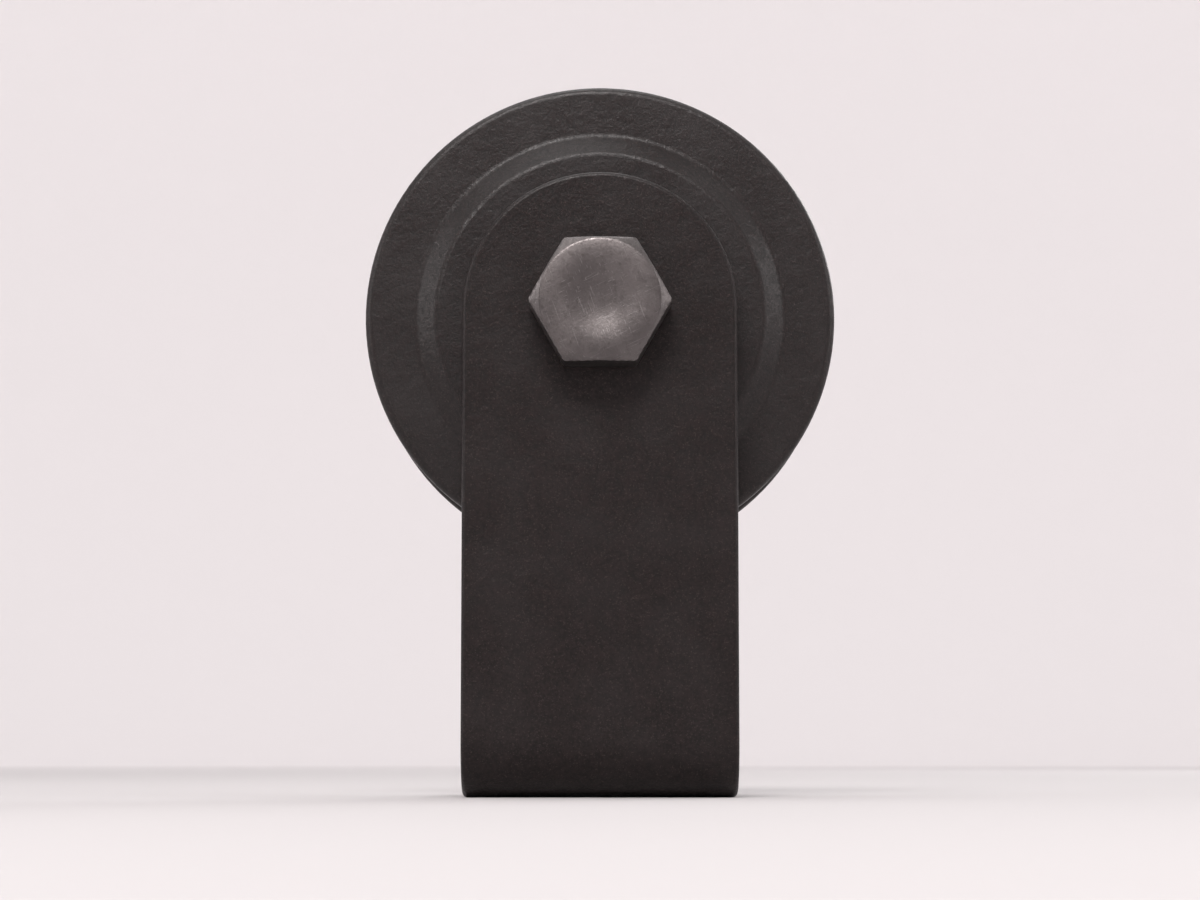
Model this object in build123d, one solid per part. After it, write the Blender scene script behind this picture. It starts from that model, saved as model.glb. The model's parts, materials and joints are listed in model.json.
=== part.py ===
from build123d import *
from math import radians, tan
import os

# Top-mount roller for a sliding door: a flanged wheel on two ball bearings, bolted to a bent strap.
#
# Millimetres. +X runs along the rail, +Y towards the wall behind the door, +Z up.
# The origin is the middle of the foot's underside, where it stands on the door's top edge.
# Turned pieces are drawn as half sections: first number the radius, second the place along the axle (+Y).

# The flat rail that the wheel runs on
rail_height = 40.0
rail_gap = 3.0  # under the rail, above the foot

# Wheel
wheel_radius = 35.0
groove_depth = 12.0
groove_width = 8.0
flange_slope = 12.0  # degrees, the groove's sides
rim_width = 18.0
hub_width = 22.0
hub_edge_inner = 24.4  # the hub's sloping edge, inner and outer radius
hub_edge_outer = 27.4
hub_edge_rounding = 1.5
flange_outer_rounding = 1.2
flange_inner_rounding = 0.9
groove_corner_rounding = 1.0

# Strap
strap_width = 40.0
strap_thickness = 5.0
strap_gap = 3.0  # between the wheel's hub and the strap
bend_inner_radius = 3.0
foot_corner_radius = 4.0
strap_edge = 0.7
bolt_hole_radius = 6.1
screw_spacing = 22.0
screw_hole_radius = 2.75
countersink_radius = 5.2
cut_margin = 1.0  # how far a hole's cutter reaches past the faces

# Axle bolt M12 x 45, thin lock nut and washer
bolt_radius = 5.95
bolt_length = 45.0
across_flats = 18.0
head_height = 7.5
washer_face_radius = 8.3
washer_face_height = 0.6
tip_chamfer = 1.2
washer_radius = 12.0
washer_thickness = 2.5
nut_hexagon_height = 7.4
nut_height = 10.2
nut_collar_radius = 8.2
nut_collar_rounding = 1.0
nut_lip_radius = 7.0
nut_lip_height = 0.5
insert_radius = 7.4
insert_height = 2.7
insert_chamfer = 0.2
hexagon_chamfer_angle = 30.0
hexagon_face_ratio = 0.96  # flat round face inside the chamfer, as a share of the size across flats

# Deep groove ball bearing, 12 x 28 x 8
bearing_bore_radius = 6.0
bearing_radius = 14.0
bearing_width = 8.0
pitch_radius = 10.0
ball_radius = 2.381
ball_count = 8
raceway_radius = 2.5  # the raceway's own section
ball_clearance = 0.03
inner_land_radius = 8.4
outer_land_radius = 11.6
bearing_chamfer = 0.5
shield_seat_radius = 12.6
shield_seat_depth = 0.8
shield_thickness = 0.35
shield_rim_height = 0.7
shield_rim_width = 0.5
shield_bore_radius = 8.75
cage_inner_radius = 9.0
cage_outer_radius = 11.0
cage_open_reach = 1.2
cage_closed_reach = 2.9
pocket_radius = 2.45

# Spacers between the bearings, the strap and the washer
spacer_radius = 8.2
spacer_bore_radius = 6.05
spacer_chamfer = 0.3
rear_spacer_length = 2.5

# Shoulder and snap rings that hold the bearings in the wheel
shoulder_width = 2.0
shoulder_radius = 12.5
ring_thickness = 1.2
ring_groove_width = 1.3
ring_groove_radius = 14.7
ring_widest = 2.9
ring_narrowest = 1.9
ring_gap_half_width = 3.4
lug_width = 3.2
lug_reach = 10.4
lug_rounding = 0.8
lug_hole_radius = 0.9

# Places that follow from the sizes above
groove_radius = wheel_radius - groove_depth
axle_height = strap_thickness + rail_gap + rail_height + groove_radius
strap_rear = -hub_width / 2 - strap_gap
strap_front = strap_rear - strap_thickness
foot_rear = -strap_front
bearing_centre = shoulder_width / 2 + bearing_width / 2
bearing_face = shoulder_width / 2 + bearing_width
washer_front = bearing_face + rear_spacer_length
nut_front = washer_front + washer_thickness
insert_front = nut_front + nut_height - nut_lip_height - insert_height
bolt_tip = strap_front + bolt_length
ball_step = 360.0 / ball_count


def outline(*corners):
    """Face inside corners given as (x, y), or (x, y, rounding radius)."""
    points = [corner[:2] for corner in corners]
    radii = [corner[2] if len(corner) == 3 else 0 for corner in corners]
    return make_face(FilletPolyline(*points, radius=radii, close=True))


def mirrored_outline(*corners):
    """Face whose second half repeats the given corners on the other side of the axle's middle."""
    other_half = [(corner[0], -corner[1], *corner[2:]) for corner in reversed(corners)]
    return outline(*corners, *other_half)


def turned(section, middle=0.0):
    """Turned piece about the axle, from its half section, with the section's zero at Y = middle."""
    return Pos(0, middle, axle_height) * revolve(section, Axis.Y)


def across_axle(face, start, thickness):
    """Flat piece across the axle, from a face drawn in X and Z, from Y = start towards the wall."""
    return Pos(0, start, axle_height) * extrude(Plane.XZ * face, amount=-thickness)


def tube_section(bore, radius, start, length, edge):
    """Half section of a tube with chamfered outer edges."""
    end = start + length
    return outline(
        (bore, start),
        (radius - edge, start),
        (radius, start + edge),
        (radius, end - edge),
        (radius - edge, end),
        (bore, end),
    )


def chamfered_hexagon(start, height, chamfered_side):
    """Hexagon about the axle, corners cut by a cone at one end: -1 towards the door's front, 1 the wall."""
    hexagon = across_axle(RegularPolygon(across_flats / 2, 6, major_radius=False), start, height)
    face_radius = across_flats / 2 * hexagon_face_ratio
    reach = across_flats
    drop = (reach - face_radius) * tan(radians(hexagon_chamfer_angle))
    near, far = (0.0, height) if chamfered_side > 0 else (height, 0.0)
    cone_foot = far - chamfered_side * drop
    envelope = outline((0, near), (reach, near), (reach, cone_foot), (face_radius, far), (0, far))
    return hexagon & turned(envelope, start)


def strap():
    """Bent flat bar: upright with a round top about the axle, and the foot with two countersunk holes."""
    top = axle_height + strap_width / 2
    side_view = outline(
        (strap_front, 0, bend_inner_radius + strap_thickness),
        (foot_rear, 0),
        (foot_rear, strap_thickness),
        (strap_rear, strap_thickness, bend_inner_radius),
        (strap_rear, top),
        (strap_front, top),
    )
    bar = extrude(Plane.YZ * side_view, amount=strap_width / 2, both=True)
    front_view = Pos(0, axle_height / 2) * Rectangle(strap_width, axle_height)
    front_view += Pos(0, axle_height) * Circle(strap_width / 2)
    bar &= extrude(Plane.XZ * front_view, amount=2 * foot_rear, both=True)
    rear_corners = bar.edges().filter_by(Axis.Z).group_by(Axis.Y)[-1]
    bar = fillet(rear_corners, foot_corner_radius)
    bar = fillet(bar.edges(), strap_edge)
    bolt_hole = outline(
        (0, strap_front - cut_margin),
        (bolt_hole_radius, strap_front - cut_margin),
        (bolt_hole_radius, strap_rear + cut_margin),
        (0, strap_rear + cut_margin),
    )
    bar -= turned(bolt_hole)
    cone_depth = countersink_radius - screw_hole_radius
    screw_hole = Pos(0, 0, strap_thickness / 2) * Cylinder(
        screw_hole_radius, strap_thickness + 2 * cut_margin
    )
    screw_hole += Pos(0, 0, strap_thickness - cone_depth / 2) * Cone(
        screw_hole_radius, countersink_radius, cone_depth
    )
    for place in GridLocations(screw_spacing, 0, 2, 1):
        bar -= place * screw_hole
    return bar


def axle_bolt():
    """Hexagon head in front of the strap, plain round shank through to the nut."""
    head = chamfered_hexagon(
        strap_front - head_height, head_height - washer_face_height, chamfered_side=-1
    )
    shank = outline(
        (0, strap_front - washer_face_height),
        (washer_face_radius, strap_front - washer_face_height),
        (washer_face_radius, strap_front),
        (bolt_radius, strap_front),
        (bolt_radius, bolt_tip - tip_chamfer),
        (bolt_radius - tip_chamfer, bolt_tip),
        (0, bolt_tip),
    )
    return head + turned(shank)


def lock_nut():
    """Thin lock nut: hexagon with a round collar that holds a nylon ring."""
    nut_rear = nut_front + nut_height
    hexagon = chamfered_hexagon(nut_front, nut_hexagon_height, chamfered_side=1)
    collar = outline(
        (0, nut_front),
        (nut_collar_radius, nut_front),
        (nut_collar_radius, nut_rear, nut_collar_rounding),
        (0, nut_rear),
    )
    bore = outline(
        (0, nut_front - cut_margin),
        (bolt_radius, nut_front - cut_margin),
        (bolt_radius, insert_front),
        (insert_radius, insert_front),
        (insert_radius, insert_front + insert_height),
        (nut_lip_radius, insert_front + insert_height),
        (nut_lip_radius, nut_rear + cut_margin),
        (0, nut_rear + cut_margin),
    )
    return hexagon + turned(collar) - turned(bore)


def nut_insert():
    """Nylon ring held inside the lock nut's collar."""
    section = tube_section(bolt_radius, insert_radius, insert_front, insert_height, insert_chamfer)
    return turned(section)


def flat_washer():
    """Washer under the lock nut."""
    return turned(
        tube_section(spacer_bore_radius, washer_radius, washer_front, washer_thickness, spacer_chamfer)
    )


def spacer(start, length):
    """Tube on the axle that presses on a bearing's inner ring."""
    return turned(tube_section(spacer_bore_radius, spacer_radius, start, length, spacer_chamfer))


def wheel():
    """Turned wheel: flat-bottomed groove, two flanges, raised hub faces, shouldered and grooved bore."""
    groove_half = groove_width / 2
    groove_mouth = groove_half + groove_depth * tan(radians(flange_slope))
    ring_groove_end = bearing_face + ring_groove_width
    section = mirrored_outline(
        (shoulder_radius, shoulder_width / 2),
        (bearing_radius, shoulder_width / 2),
        (bearing_radius, bearing_face),
        (ring_groove_radius, bearing_face),
        (ring_groove_radius, ring_groove_end),
        (bearing_radius, ring_groove_end),
        (bearing_radius, hub_width / 2),
        (hub_edge_inner, hub_width / 2, hub_edge_rounding),
        (hub_edge_outer, rim_width / 2, hub_edge_rounding),
        (wheel_radius, rim_width / 2, flange_outer_rounding),
        (wheel_radius, groove_mouth, flange_inner_rounding),
        (groove_radius, groove_half, groove_corner_rounding),
    )
    return turned(section)


def raceway(offset):
    """Raceway section, moved by offset from the balls' pitch circle."""
    return Pos(pitch_radius + offset, 0) * Circle(raceway_radius)


def inner_race(middle):
    """Bearing's inner ring with its raceway."""
    half_width = bearing_width / 2
    section = mirrored_outline(
        (bearing_bore_radius, half_width),
        (inner_land_radius - bearing_chamfer / 2, half_width),
        (inner_land_radius, half_width - bearing_chamfer / 2),
    )
    section -= raceway(raceway_radius - ball_radius - ball_clearance)
    return turned(section, middle)


def outer_race(middle):
    """Bearing's outer ring with its raceway and a seat for a shield at each side."""
    half_width = bearing_width / 2
    section = mirrored_outline(
        (outer_land_radius, half_width - shield_seat_depth),
        (shield_seat_radius, half_width - shield_seat_depth),
        (shield_seat_radius, half_width),
        (bearing_radius - bearing_chamfer, half_width),
        (bearing_radius, half_width - bearing_chamfer),
    )
    section -= raceway(-(raceway_radius - ball_radius - ball_clearance))
    return turned(section, middle)


def shield(middle, side):
    """Thin dished ring pressed into one side of the outer ring: side is -1 or 1 along the axle."""
    seat = bearing_width / 2 - shield_seat_depth
    corners = [
        (shield_bore_radius, seat),
        (shield_seat_radius, seat),
        (shield_seat_radius, seat + shield_rim_height),
        (shield_seat_radius - shield_rim_width, seat + shield_rim_height),
        (shield_seat_radius - shield_rim_width, seat + shield_thickness),
        (shield_bore_radius, seat + shield_thickness),
    ]
    return turned(outline(*[(radius, side * along) for radius, along in corners]), middle)


def ball_places(middle):
    """Where the bearing's balls sit, with a gap between two balls at the top."""
    centre = Pos(0, middle, axle_height)
    return [
        centre * Rot(0, (index + 0.5) * ball_step, 0) * Pos(0, 0, pitch_radius)
        for index in range(ball_count)
    ]


def balls(middle):
    """The bearing's balls, each a solid of its own."""
    return Compound([(place * Sphere(ball_radius)).solid() for place in ball_places(middle)])


def cage(middle, side):
    """Nylon ball cage, closed towards side and open the other way, with a round pocket for each ball."""
    low, high = sorted((-side * cage_open_reach, side * cage_closed_reach))
    ring = turned(
        outline(
            (cage_inner_radius, low),
            (cage_outer_radius, low),
            (cage_outer_radius, high),
            (cage_inner_radius, high),
        ),
        middle,
    )
    for place in ball_places(middle):
        ring -= place * Sphere(pocket_radius)
    return ring


def snap_ring(start):
    """Internal snap ring with two eyed ends at the top, its width tapering towards them."""
    inner_radius = ring_groove_radius - (ring_widest + ring_narrowest) / 2
    inner_shift = (ring_widest - ring_narrowest) / 2
    face = Circle(ring_groove_radius) - Pos(0, inner_shift) * Circle(inner_radius)
    lug_height = ring_groove_radius - lug_reach
    lug_side = ring_gap_half_width + lug_width / 2
    lug = Pos(lug_side, lug_reach + lug_height / 2) * RectangleRounded(lug_width, lug_height, lug_rounding)
    eye = Pos(lug_side, lug_reach + lug_width / 2) * Circle(lug_hole_radius)
    face += lug + mirror(lug, about=Plane.YZ)
    face &= Circle(ring_groove_radius)
    face -= Pos(0, ring_groove_radius) * Rectangle(2 * ring_gap_half_width, 2 * ring_widest)
    face -= eye + mirror(eye, about=Plane.YZ)
    return across_axle(face, start, ring_thickness)


parts = {
    "strap": strap(),
    "axle_bolt": axle_bolt(),
    "lock_nut": lock_nut(),
    "nut_insert": nut_insert(),
    "flat_washer": flat_washer(),
    "front_spacer": spacer(strap_rear, -bearing_face - strap_rear),
    "bearing_spacer": spacer(-shoulder_width / 2, shoulder_width),
    "rear_spacer": spacer(bearing_face, rear_spacer_length),
    "wheel": wheel(),
    "front_snap_ring": snap_ring(-bearing_face - ring_thickness),
    "rear_snap_ring": snap_ring(bearing_face),
}
for name, side in (("front", -1), ("rear", 1)):
    middle = side * bearing_centre
    parts[name + "_inner_race"] = inner_race(middle)
    parts[name + "_outer_race"] = outer_race(middle)
    parts[name + "_outer_shield"] = shield(middle, side)
    parts[name + "_inner_shield"] = shield(middle, -side)
    parts[name + "_cage"] = cage(middle, side)
    parts[name + "_balls"] = balls(middle)

os.makedirs("parts", exist_ok=True)
for name, part in parts.items():
    export_step(part, f"parts/{name}.step")
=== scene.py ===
import json
import math

import bmesh
import bpy
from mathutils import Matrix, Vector


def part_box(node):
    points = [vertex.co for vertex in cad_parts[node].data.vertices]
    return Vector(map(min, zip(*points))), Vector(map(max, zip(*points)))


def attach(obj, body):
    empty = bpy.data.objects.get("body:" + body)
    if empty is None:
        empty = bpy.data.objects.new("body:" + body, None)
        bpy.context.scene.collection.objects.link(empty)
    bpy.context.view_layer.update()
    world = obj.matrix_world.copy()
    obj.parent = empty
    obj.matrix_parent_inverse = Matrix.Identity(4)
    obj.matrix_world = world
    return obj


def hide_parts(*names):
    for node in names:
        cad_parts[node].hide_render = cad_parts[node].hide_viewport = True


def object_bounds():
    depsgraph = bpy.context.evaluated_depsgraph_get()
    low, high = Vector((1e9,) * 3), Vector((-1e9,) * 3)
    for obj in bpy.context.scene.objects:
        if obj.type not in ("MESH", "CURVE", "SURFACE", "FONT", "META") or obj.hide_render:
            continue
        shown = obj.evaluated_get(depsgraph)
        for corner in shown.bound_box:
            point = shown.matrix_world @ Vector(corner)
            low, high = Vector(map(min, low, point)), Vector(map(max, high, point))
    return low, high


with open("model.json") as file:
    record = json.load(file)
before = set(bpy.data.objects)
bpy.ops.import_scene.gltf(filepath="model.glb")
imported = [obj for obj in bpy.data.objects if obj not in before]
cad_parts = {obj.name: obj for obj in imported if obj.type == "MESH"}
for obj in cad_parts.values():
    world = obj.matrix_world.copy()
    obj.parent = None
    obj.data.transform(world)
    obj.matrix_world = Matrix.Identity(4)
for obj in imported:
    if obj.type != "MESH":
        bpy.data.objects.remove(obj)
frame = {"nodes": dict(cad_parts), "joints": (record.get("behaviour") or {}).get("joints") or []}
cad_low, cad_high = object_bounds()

MM = 0.001
AXLE = Vector(next(j for j in frame["joints"] if j["name"] == "wheel_spin")["pos_m"])


# ---------------------------------------------------------------- materials


class Surface:
    """A Principled material with short calls that add the nodes of its pattern. Sizes are in millimetres."""

    def __init__(self, name, **sockets):
        self.material = bpy.data.materials.new(name)
        self.material.use_nodes = True
        tree = self.material.node_tree
        self.nodes, self.links = tree.nodes, tree.links
        self.shader = self.nodes["Principled BSDF"]
        self.normal = None
        for socket, value in sockets.items():
            self.shader.inputs[socket.replace("_", " ")].default_value = value
        self.place = self.add("ShaderNodeTexCoord").outputs["Object"]

    def add(self, kind, inputs=(), **settings):
        """A node; inputs are (socket, value) pairs, and a value that is a socket is linked."""
        node = self.nodes.new(kind)
        for name, value in settings.items():
            setattr(node, name, value)
        for name, value in inputs:
            if isinstance(value, bpy.types.NodeSocket):
                self.links.new(value, node.inputs[name])
            else:
                node.inputs[name].default_value = value
        return node

    def math(self, operation, first, second=0.0):
        """Result of one arithmetic node."""
        pairs = ((0, first), (1, second))
        return self.add("ShaderNodeMath", pairs, operation=operation).outputs[0]

    def noise(self, size, detail=2.0, roughness=0.5, place=None, distortion=0.0):
        """Noise whose blobs are about size across."""
        pairs = (
            ("Vector", place or self.place),
            ("Scale", 1 / (size * MM)),
            ("Detail", detail),
            ("Roughness", roughness),
            ("Distortion", distortion),
        )
        return self.add("ShaderNodeTexNoise", pairs).outputs[0]

    def cells(self, size):
        """Distance to the nearest of scattered points, about size apart."""
        pairs = (("Vector", self.place), ("Scale", 1 / (size * MM)))
        return self.add("ShaderNodeTexVoronoi", pairs).outputs["Distance"]

    def remap(self, value, low, high, to_low=0.0, to_high=1.0):
        """Smooth step from to_low, where value is low, to to_high, where it is high."""
        pairs = (
            ("Value", value),
            ("From Min", low),
            ("From Max", high),
            ("To Min", to_low),
            ("To Max", to_high),
        )
        kind = "ShaderNodeMapRange"
        return self.add(kind, pairs, interpolation_type="SMOOTHSTEP").outputs["Result"]

    def blend(self, share, first, second):
        """Colour between first and second, which are colours or sockets."""
        pairs = ((0, share), (6, first), (7, second))
        return self.add("ShaderNodeMix", pairs, data_type="RGBA").outputs[2]

    def cover(self, colour, mask, amount, new):
        """colour, with new over it by amount where mask is 1."""
        return self.blend(self.math("MULTIPLY", mask, amount), colour, new)

    def turned_place(self):
        """Radius, place along the axle, and both as a vector, on which a pattern runs in rings."""
        centred = self.add("ShaderNodeVectorMath", ((0, self.place), (1, AXLE)), operation="SUBTRACT")
        parts = self.add("ShaderNodeSeparateXYZ", ((0, centred.outputs[0]),)).outputs
        squares = [self.math("MULTIPLY", part, part) for part in (parts[0], parts[2])]
        radius = self.math("SQRT", self.math("ADD", *squares))
        along = parts[1]
        return radius, along, self.add("ShaderNodeCombineXYZ", ((0, radius), (1, along))).outputs[0]

    def scratches(self, direction, length, width):
        """1 on fine scratches that run at direction degrees from +X, seen along Y."""
        turn = (0, math.radians(direction), 0)
        stretch = (width / length, 1, 1)
        turned = self.add("ShaderNodeMapping", ((0, self.place), ("Rotation", turn)))
        squeezed = self.add("ShaderNodeMapping", ((0, turned.outputs[0]), ("Scale", stretch)))
        return self.remap(self.noise(width, detail=0, place=squeezed.outputs[0]), 0.72, 0.80)

    def bump(self, height, depth):
        """Adds relief: height 0 to 1 stands for depth. Calls add up."""
        pairs = [("Height", height), ("Distance", depth * MM), ("Strength", 1.0)]
        if self.normal:
            pairs.append(("Normal", self.normal))
        self.normal = self.add("ShaderNodeBump", pairs).outputs[0]
        self.links.new(self.normal, self.shader.inputs["Normal"])

    def edge(self, radius, low=0.02, high=0.35):
        """1 on convex edges and 0 on flat stretches, from how much a bevel would turn the surface."""
        bevel = self.add("ShaderNodeBevel", (("Radius", radius * MM),), samples=6).outputs[0]
        facing = self.add("ShaderNodeNewGeometry").outputs["Normal"]
        dot = self.add("ShaderNodeVectorMath", ((0, bevel), (1, facing)), operation="DOT_PRODUCT")
        turned = self.math("SUBTRACT", 1.0, dot.outputs["Value"])
        return self.remap(turned, low, high)

    def feed(self, **sockets):
        """Links the pattern's results to the shader."""
        for socket, value in sockets.items():
            self.links.new(value, self.shader.inputs[socket.replace("_", " ")])


def dark_coating(name, gloss, worn=False):
    """Very dark brown powder coating: fine orange peel with painted shade in its valleys and painted light
    on its peaks, faint flecks, thinner and lighter on the edges.
    gloss is its specular level; worn adds the track that the rail has rubbed in the wheel's groove."""
    # The first two tones are painted shade for the peel's valleys and painted light for its peaks.
    valley_shade, light = (0.0050, 0.0030, 0.0028, 1), (0.0136, 0.0087, 0.0082, 1)
    dusty, fleck = (0.0160, 0.0122, 0.0122, 1), (0.052, 0.037, 0.034, 1)
    thin, rubbed = (0.070, 0.057, 0.052, 1), (0.095, 0.085, 0.080, 1)
    s = Surface(name, Specular_IOR_Level=gloss)
    drift = s.noise(size=9, detail=3)
    flecks = s.remap(s.noise(size=0.22, detail=1), 0.60, 0.74)
    peel = s.noise(size=1.5, detail=2, roughness=0.45)
    grit = s.noise(size=0.45, detail=2, roughness=0.6)
    mottle = s.math("ADD", s.math("MULTIPLY", grit, 0.7), s.math("MULTIPLY", peel, 0.3))
    edges = s.math("MULTIPLY", s.edge(radius=0.9), s.remap(s.noise(size=3.5, detail=4), 0.30, 0.70))

    # Painted shade and painted light: the colour is darker in the peel's valleys and lighter on its peaks.
    colour = s.blend(s.remap(mottle, 0.36, 0.64), valley_shade, light)
    colour = s.blend(s.remap(drift, 0.40, 0.70, 0.0, 0.35), colour, dusty)
    colour = s.cover(colour, flecks, 0.6, fleck)
    colour = s.cover(colour, edges, 0.5, thin)
    roughness = s.math("ADD", s.remap(drift, 0.3, 0.7, 0.28, 0.36), s.remap(mottle, 0.3, 0.7, 0.16, 0.0))
    roughness = s.math("SUBTRACT", roughness, s.math("MULTIPLY", edges, 0.06))
    if worn:
        track = rail_track(s)
        colour = s.cover(colour, track, 0.7, rubbed)
        roughness = s.math("SUBTRACT", roughness, s.math("MULTIPLY", track, 0.10))
    s.bump(peel, depth=0.080)
    s.bump(grit, depth=0.050)
    s.feed(Base_Color=colour, Roughness=roughness)
    return s.material


def rail_track(s):
    """1 where the rail has rubbed the bottom of the wheel's groove, in uneven rings."""
    radius, along, rings = s.turned_place()
    track_end, track_start = 24.0 * MM, 23.2 * MM
    flange_side, flat_side = 5.0 * MM, 4.2 * MM
    bottom = s.remap(radius, track_end, track_start)
    between_flanges = s.remap(s.math("ABSOLUTE", along), flange_side, flat_side)
    streaks = s.remap(s.noise(size=0.35, detail=2, place=rings), 0.3, 0.6, 0.4, 1.0)
    return s.math("MULTIPLY", s.math("MULTIPLY", bottom, between_flanges), streaks)


def bolt_steel():
    """Grey satin bolt steel: forged grain, faint stains and scratches, brighter on the edges."""
    dark, grey = (0.112, 0.101, 0.100, 1), (0.148, 0.134, 0.132, 1)
    stain, rubbed, scratched = (0.080, 0.070, 0.068, 1), (0.34, 0.32, 0.31, 1), (0.30, 0.285, 0.28, 1)
    s = Surface("bolt_steel", Metallic=1.0)
    cloud = s.noise(size=5, detail=4)
    grain = s.noise(size=0.35, detail=3)
    stains = s.remap(s.noise(size=0.9, detail=5, roughness=0.65), 0.52, 0.72)
    colour = s.blend(s.remap(cloud, 0.35, 0.65), dark, grey)
    colour = s.cover(colour, stains, 0.55, stain)
    colour = s.cover(colour, s.edge(radius=0.5), 0.55, rubbed)
    for direction in (25, 110):
        colour = s.cover(colour, s.scratches(direction, length=5.0, width=0.10), 0.5, scratched)
    s.bump(grain, depth=0.020)
    s.bump(s.noise(size=1.8, detail=2), depth=0.018)
    s.feed(Base_Color=colour, Roughness=s.remap(grain, 0.3, 0.7, 0.34, 0.48))
    return s.material


def zinc_steel():
    """Zinc-plated steel: pale grey with faint yellow and blue passivation, and fine turning rings."""
    yellowish, bluish = (0.52, 0.51, 0.47, 1), (0.46, 0.485, 0.515, 1)
    dull, rubbed = (0.36, 0.36, 0.35, 1), (0.72, 0.71, 0.69, 1)
    s = Surface("zinc_steel", Metallic=1.0)
    rings = s.turned_place()[2]
    cloud = s.noise(size=4, detail=3)
    patches = s.remap(s.noise(size=1.6, detail=3), 0.50, 0.75)
    colour = s.blend(s.remap(cloud, 0.35, 0.65), yellowish, bluish)
    colour = s.cover(colour, patches, 0.35, dull)
    colour = s.cover(colour, s.edge(radius=0.4), 0.5, rubbed)
    s.bump(s.noise(size=0.12, detail=1, place=rings), depth=0.004)
    s.bump(s.noise(size=0.3, detail=2), depth=0.005)
    s.feed(Base_Color=colour, Roughness=s.remap(cloud, 0.3, 0.7, 0.28, 0.40))
    return s.material


def bearing_steel(name, roughness, mark_size):
    """Bearing steel with rings left by grinding or pressing, and a thin film of oil."""
    clean, oily = (0.58, 0.58, 0.585, 1), (0.50, 0.485, 0.455, 1)
    s = Surface(name, Metallic=1.0)
    rings = s.turned_place()[2]
    marks = s.noise(size=mark_size, detail=2, place=rings)
    film = s.noise(size=3, detail=3)
    oiled = s.remap(film, 0.3, 0.7, roughness, roughness + 0.1)
    s.bump(marks, depth=0.002)
    s.feed(
        Base_Color=s.blend(s.remap(film, 0.35, 0.65), clean, oily),
        Roughness=s.math("ADD", oiled, s.remap(marks, 0.3, 0.7, 0.0, 0.1)),
    )
    return s.material


def spring_steel():
    """Black phosphated spring steel: dark grey, finely crystalline, rubbed on the edges."""
    dark, grey, rubbed = (0.045, 0.045, 0.048, 1), (0.075, 0.073, 0.072, 1), (0.26, 0.25, 0.25, 1)
    s = Surface("spring_steel", Metallic=0.7)
    crystals = s.cells(size=0.12)
    cloud = s.noise(size=2.5, detail=3)
    colour = s.blend(s.remap(cloud, 0.3, 0.7), dark, grey)
    colour = s.cover(colour, s.edge(radius=0.25), 0.7, rubbed)
    s.bump(crystals, depth=0.006)
    s.feed(Base_Color=colour, Roughness=s.remap(crystals, 0.0, 0.8, 0.42, 0.58))
    return s.material


def nylon(name, base, shade):
    """Moulded nylon: faint flow marks, matt grain and a little light inside."""
    s = Surface(name, Subsurface_Weight=0.15, Subsurface_Scale=0.6 * MM)
    flow = s.noise(size=3, detail=3, distortion=1.5)
    grain = s.noise(size=0.15, detail=2)
    s.bump(grain, depth=0.006)
    s.feed(
        Base_Color=s.blend(s.remap(flow, 0.3, 0.7), base, shade),
        Roughness=s.remap(grain, 0.3, 0.7, 0.42, 0.56),
    )
    return s.material


def studio_surface():
    """Matt studio paper with a fine grain, with painted shade: greyer in the middle, where the lamps light
    it most, and whiter towards the backdrop, so that floor and backdrop look about equally bright.
    """
    # The first tone is painted shade for the middle of the floor, where the lamps light it most.
    painted_shade_near, far, speck = (0.51, 0.487, 0.490, 1), (0.870, 0.834, 0.840, 1), (0.40, 0.39, 0.39, 1)
    s = Surface("studio_paper", Roughness=0.9, Specular_IOR_Level=0.2)
    grain = s.noise(size=2.0, detail=3)
    distance = s.add("ShaderNodeVectorMath", ((0, s.place),), operation="LENGTH").outputs["Value"]
    # Painted shade: the paper is greyer near the middle to even out the strong light there.
    paper = s.blend(s.remap(distance, 0.3, 1.6), painted_shade_near, far)
    s.bump(grain, depth=0.02)
    s.feed(Base_Color=s.cover(paper, grain, 0.04, speck))
    return s.material


# ---------------------------------------------------------------- meshes


SEGMENTS = 192
CHAMFER_SLOPE = math.tan(math.radians(30))
FACE_RATIO = 0.96  # flat round face inside a hexagon's chamfer, as a share of the size across flats
SHANK_RADIUS = 5.95 * MM


def rounded_polygon(angle, apothem, sides=6, sharpness=130):
    """Distance from the centre to a regular polygon with slightly rounded corners, flat at angle 0."""
    total = 0.0
    for index in range(sides):
        reach = math.cos(angle - 2 * math.pi * index / sides)
        if reach > 0:
            total += (reach / apothem) ** sharpness
    return total ** (-1 / sharpness)


def soft_minimum(first, second, sharpness=130):
    """The smaller of two, slightly rounded where they meet."""
    return (first**-sharpness + second**-sharpness) ** (-1 / sharpness)


def arc(centre, radius, start, end, steps):
    """Points on an arc, angles in degrees from the radius direction towards +Y."""
    points = []
    for index in range(steps + 1):
        angle = math.radians(start + (end - start) * index / steps)
        points.append((centre[0] + radius * math.cos(angle), centre[1] + radius * math.sin(angle)))
    return points


def new_object(name, mesh):
    """Object from mesh code, smooth but for its corners."""
    data = bpy.data.meshes.new(name)
    mesh.to_mesh(data)
    mesh.free()
    data.shade_smooth()
    data.set_sharp_from_angle(angle=math.radians(35))
    made = bpy.data.objects.new(name, data)
    bpy.context.scene.collection.objects.link(made)
    return made


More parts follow.
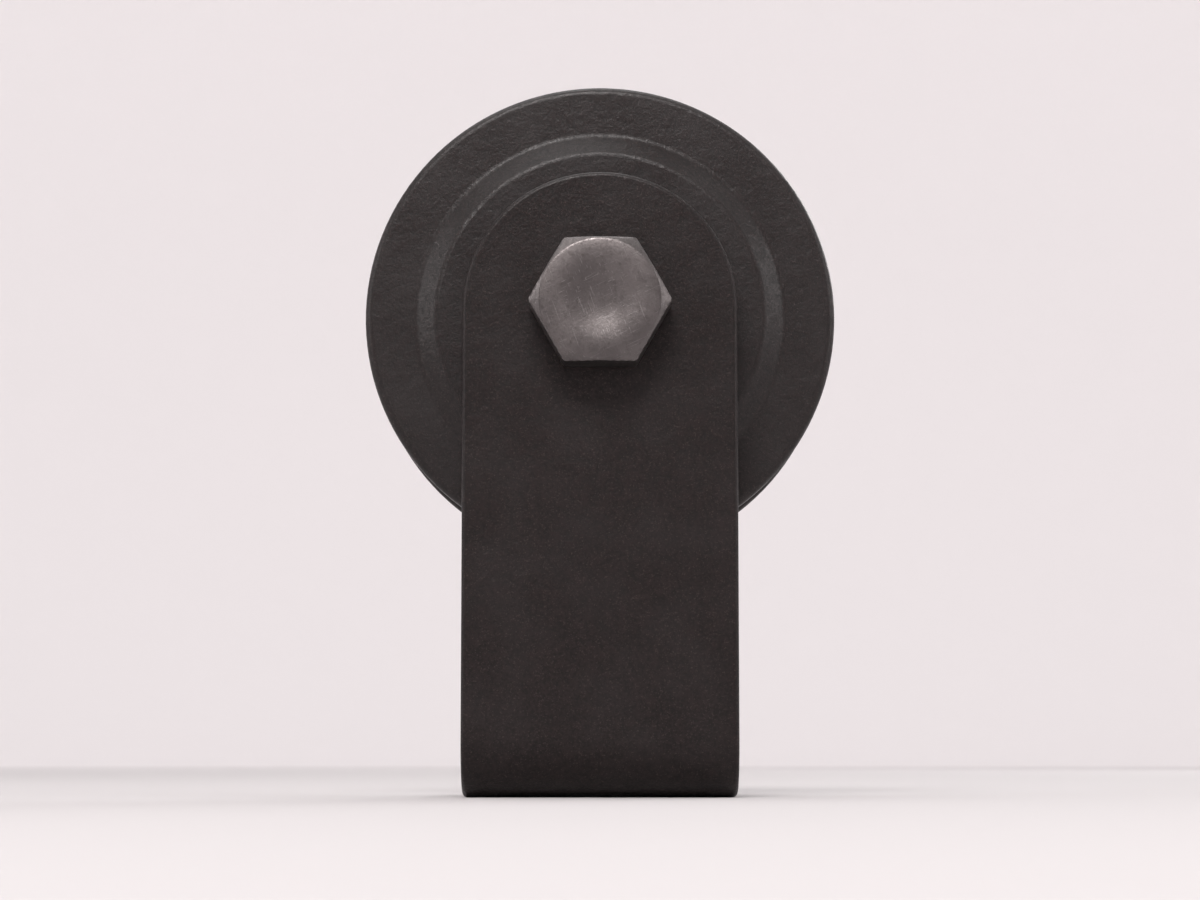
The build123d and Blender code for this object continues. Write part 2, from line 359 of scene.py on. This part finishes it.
def ring_mesh(name, rings, closed):
    """Surface through rings about the axle. Each ring is a function that turns an angle into (radius, y).
    closed joins the last ring to the first; otherwise both ends are closed at the axle."""
    mesh = bmesh.new()
    rows = []
    for ring in rings:
        row = []
        for index in range(SEGMENTS):
            angle = 2 * math.pi * index / SEGMENTS
            radius, y = ring(angle)
            point = (AXLE.x + radius * math.sin(angle), y, AXLE.z + radius * math.cos(angle))
            row.append(mesh.verts.new(point))
        rows.append(row)
    pairs = list(zip(rows, rows[1:]))
    if closed:
        pairs.append((rows[-1], rows[0]))
    for first, second in pairs:
        for index in range(SEGMENTS):
            after = (index + 1) % SEGMENTS
            mesh.faces.new((first[index], first[after], second[after], second[index]))
    if not closed:
        for row in (rows[0], rows[-1]):
            middle = sum((v.co for v in row), Vector()) / SEGMENTS
            tip = mesh.verts.new((AXLE.x, middle.y, AXLE.z))
            for index in range(SEGMENTS):
                mesh.faces.new((row[index], row[(index + 1) % SEGMENTS], tip))
    bmesh.ops.recalc_face_normals(mesh, faces=mesh.faces)
    return new_object(name, mesh)


def round_rings(*section):
    """Plain round rings through the section's points, each (radius, y)."""
    return [lambda angle, point=point: point for point in section]


def hexagon_rings(apothem, start, end, steps, chamfered):
    """Rings along a hexagon, closer together near its ends; 30 degree cones cut the corners at chamfered."""
    rings = []
    for step in range(steps + 1):
        y = start + (end - start) * 0.5 * (1 - math.cos(math.pi * step / steps))
        cones = [apothem * FACE_RATIO + abs(y - face) / CHAMFER_SLOPE for face in chamfered]

        def ring(angle, y=y, cones=cones):
            radius = rounded_polygon(angle, apothem)
            for cone in cones:
                radius = soft_minimum(radius, cone)
            return radius, y

        rings.append(ring)
    return rings


def thread_rings(start, end, tip_chamfer, samples=12):
    """Rings of an M12 x 1.75 thread: a 60 degree groove that winds once a pitch and fades in at its start.
    samples is the number of rings in a pitch."""
    pitch = 1.75 * MM
    crest_flat, root_flat = 0.12, 0.18  # shares of the pitch
    flank = 1 - crest_flat - root_flat
    depth = pitch * flank / 2 / math.tan(math.radians(30))
    steps = round((end - start) / pitch * samples)
    rings = []
    for step in range(steps + 1):
        y = start + (end - start) * step / steps
        fade = min(1.0, (y - start) / pitch)
        tip = SHANK_RADIUS - max(0.0, y - (end - tip_chamfer))

        def ring(angle, y=y, fade=fade, tip=tip):
            turn = (y / pitch - angle / (2 * math.pi)) % 1.0
            from_crest = abs(2 * turn - 1)
            cut = min(1.0, max(0.0, (from_crest - crest_flat) / flank))
            return min(SHANK_RADIUS - depth * cut * fade, tip), y

        rings.append(ring)
    return rings


def finish_piece(piece, node, material):
    """Gives a new piece its material, and lets it ride and stand for the CAD node it details."""
    piece.data.materials.append(material)
    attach(piece, "hanger")
    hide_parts(node)


def axle_bolt(material):
    """Forged hexagon head with a dished face, and a shank with a rolled thread."""
    low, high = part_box("axle_bolt")
    apothem = (high.z - low.z) / 2
    under_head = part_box("strap")[0].y
    washer_face_radius, washer_face_height = 8.3 * MM, 0.6 * MM
    head_end = under_head - washer_face_height
    dish_outer, dish_inner, dish_depth, dish_steps = 6.9 * MM, 0.8 * MM, 0.6 * MM, 18
    edge, tip_chamfer = 0.08 * MM, 1.2 * MM
    thread_length = 30 * MM

    dish = [(dish_inner / 2, low.y + dish_depth)]
    for step in range(dish_steps + 1):
        share = step / dish_steps
        radius = dish_inner + (dish_outer - dish_inner) * share
        dish.append((radius, low.y + dish_depth * 0.5 * (1 + math.cos(math.pi * share))))
    rings = round_rings(*dish, (apothem * FACE_RATIO - 2 * edge, low.y))
    rings += hexagon_rings(apothem, low.y + edge, head_end - 2 * edge, steps=26, chamfered=[low.y])
    rings.append(lambda angle: (rounded_polygon(angle, apothem) - 2 * edge, head_end))
    rings += round_rings(
        (washer_face_radius, head_end),
        (washer_face_radius, under_head),
        (SHANK_RADIUS, under_head),
    )
    rings += thread_rings(high.y - thread_length, high.y, tip_chamfer)
    finish_piece(ring_mesh("axle_bolt_threaded", rings, closed=False), "axle_bolt", material)


def lock_nut(material):
    """Hexagon with both ends chamfered and a rolled-in collar over the nylon ring."""
    low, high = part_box("lock_nut")
    apothem = (high.z - low.z) / 2
    insert_low, insert_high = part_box("nut_insert")
    seat = (insert_high.z - insert_low.z) / 2
    bore = SHANK_RADIUS
    collar, lip, lip_edge = 8.2 * MM, 7.0 * MM, 0.15 * MM
    lead_in, edge = 0.5 * MM, 0.05 * MM
    hexagon_height = 7.4 * MM
    hexagon_end = low.y + hexagon_height
    fillet, roll = 0.5 * MM, 1.0 * MM

    rings = round_rings(
        (bore, low.y + lead_in),
        (bore + lead_in, low.y),
        (apothem * FACE_RATIO - edge, low.y),
    )
    chamfered = [low.y, hexagon_end]
    rings += hexagon_rings(apothem, low.y + edge, hexagon_end - edge, steps=34, chamfered=chamfered)
    rings += round_rings(
        *arc((collar + fillet, hexagon_end + fillet), fillet, 270, 180, steps=5),
        *arc((collar - roll, high.y - roll), roll, 0, 90, steps=8),
        (lip, high.y - lip_edge),
        (lip, insert_high.y),
        (seat, insert_high.y),
        (seat, insert_low.y),
        (bore, insert_low.y),
    )
    finish_piece(ring_mesh("lock_nut_formed", rings, closed=True), "lock_nut", material)


def nut_insert(material):
    """Nylon ring that the bolt's thread has pressed into, so that it stands up round in the collar."""
    low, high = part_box("nut_insert")
    outer = (high.z - low.z) / 2
    thread_bite = 0.7 * MM
    inner = SHANK_RADIUS - thread_bite
    bulge, bulge_drop = 0.45 * MM, 0.1 * MM
    shoulder = 6.9 * MM
    rings = round_rings(
        (inner, high.y),
        *arc((shoulder - bulge, high.y - bulge_drop), bulge, 90, 12, steps=6),
        (outer, high.y),
        (outer, low.y),
        (inner, low.y),
    )
    finish_piece(ring_mesh("nut_insert_ring", rings, closed=True), "nut_insert", material)


def flat_washer(material):
    """Stamped washer: one side rolled over by the punch, the other with a small sharp burr."""
    low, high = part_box("flat_washer")
    outer, bore = (high.z - low.z) / 2, 6.3 * MM
    roll, burr = 0.5 * MM, 0.06 * MM
    rings = round_rings(
        (bore, low.y + burr),
        (bore + burr, low.y),
        (outer - burr, low.y),
        (outer, low.y + burr),
        *arc((outer - roll, high.y - roll), roll, 0, 90, steps=6),
        *arc((bore + roll, high.y - roll), roll, 90, 180, steps=6),
    )
    piece = ring_mesh("flat_washer_stamped", rings, closed=True)
    finish_piece(piece, "flat_washer", material)


# ---------------------------------------------------------------- studio


def studio():
    """Pale paper floor that curves up all round into a backdrop."""
    inner, flat, turn, height, segments = 0.25, 1.5, 0.8, 1.6, 96
    section = [(inner, 0.0), (flat, 0.0)]
    section += arc((flat, turn), turn, -90, 0, steps=16)[1:]
    section += [(flat + turn, height)]
    mesh = bmesh.new()
    middle = mesh.verts.new((0, 0, cad_low.z))
    rows = []
    for radius, z in section:
        row = []
        for index in range(segments):
            angle = 2 * math.pi * index / segments
            row.append(mesh.verts.new((radius * math.sin(angle), radius * math.cos(angle), cad_low.z + z)))
        rows.append(row)
    for index in range(segments):
        after = (index + 1) % segments
        mesh.faces.new((middle, rows[0][after], rows[0][index]))
        for first, second in zip(rows, rows[1:]):
            mesh.faces.new((first[index], first[after], second[after], second[index]))
    floor = new_object("studio_floor", mesh)
    floor.data.materials.append(studio_surface())


def area_light(name, place, target, size, power, colour=(1, 1, 1)):
    """Rectangular lamp that faces target and isn't seen by the camera."""
    data = bpy.data.lights.new(name, "AREA")
    data.shape = "RECTANGLE"
    data.size, data.size_y = size
    data.energy = power
    data.color = colour
    light = bpy.data.objects.new(name, data)
    light.location = place
    light.rotation_euler = (Vector(target) - Vector(place)).to_track_quat("-Z", "Y").to_euler()
    light.visible_camera = False
    bpy.context.scene.collection.objects.link(light)


def lights():
    """A soft key above in front, lamps overhead, at the sides and behind, and lamps on the backdrop."""
    middle = (cad_low + cad_high) / 2
    area_light("key", (-0.10, -0.62, 0.64), middle, (0.36, 0.30), power=5.0, colour=(1.0, 0.965, 0.955))
    area_light("overhead", (-0.05, 0.10, 0.80), middle, (0.6, 0.4), power=2.0)
    for side in (-1, 1):
        area_light(f"side_{side + 1}", (0.80 * side, -0.33, 0.36), middle, (0.25, 0.5), power=1.3)
    area_light("rear", (0.50, 0.55, 0.45), middle, (0.4, 0.3), power=2.0)

    # Lamps on the backdrop; the one behind the camera is weak, so that the dark front stays dark.
    lamp_reach, lamp_height = 1.1, 1.7
    spot_reach, spot_height = 2.2, 0.4
    for angle, power in ((0, 10.0), (90, 10.0), (180, 1.5), (270, 10.0)):
        outward = Vector((math.sin(math.radians(angle)), math.cos(math.radians(angle)), 0))
        lamp = outward * lamp_reach + Vector((0, 0, lamp_height))
        spot = outward * spot_reach + Vector((0, 0, spot_height))
        area_light(f"backdrop_{angle}", lamp, spot, (1.6, 0.3), power)

    world = bpy.data.worlds.new("studio_air")
    world.use_nodes = True
    background = world.node_tree.nodes["Background"]
    background.inputs["Color"].default_value = (0.96, 0.932, 0.936, 1)
    background.inputs["Strength"].default_value = 0.42
    bpy.context.scene.world = world
    bpy.context.scene.view_settings.view_transform = "Standard"


def camera():
    """Close in front, just above the floor, so that the wheel is seen from slightly below."""
    distance, height, aim_drop = 0.40, 0.006, 0.001
    middle = (cad_low + cad_high) / 2
    data = bpy.data.cameras.new("camera")
    data.lens = 85
    data.clip_start = 0.01
    view = bpy.data.objects.new("camera", data)
    view.location = (0.0, cad_low.y - distance, cad_low.z + height)
    aim = Vector((0.0, middle.y, middle.z - aim_drop))
    view.rotation_euler = (aim - view.location).to_track_quat("-Z", "Y").to_euler()
    bpy.context.scene.collection.objects.link(view)
    bpy.context.scene.camera = view


# ---------------------------------------------------------------- the roller


def dress(nodes, material):
    """Gives the CAD nodes their material."""
    for name in nodes:
        for slot in frame["nodes"][name].material_slots:
            slot.material = material


zinc = zinc_steel()
ground = bearing_steel("bearing_steel_ground", roughness=0.16, mark_size=0.10)
pressed = bearing_steel("bearing_shield_sheet", roughness=0.26, mark_size=0.20)
cream = nylon("cage_nylon", base=(0.62, 0.55, 0.38, 1), shade=(0.54, 0.47, 0.31, 1))
white = nylon("white_nylon", base=(0.78, 0.77, 0.72, 1), shade=(0.70, 0.69, 0.64, 1))

dress(["strap"], dark_coating("dark_coating_strap", gloss=0.27))
dress(["wheel"], dark_coating("dark_coating_wheel", gloss=0.36, worn=True))
dress(["front_spacer", "rear_spacer", "bearing_spacer"], zinc)
races = ["front_inner_race", "front_outer_race", "rear_inner_race", "rear_outer_race"]
shields = ["front_outer_shield", "front_inner_shield", "rear_inner_shield", "rear_outer_shield"]
dress(races + ["front_balls", "rear_balls"], ground)
dress(shields, pressed)
dress(["front_snap_ring", "rear_snap_ring"], spring_steel())
dress(["front_cage", "rear_cage"], cream)
axle_bolt(bolt_steel())
lock_nut(zinc)
nut_insert(white)
flat_washer(zinc)
studio()
lights()
camera()
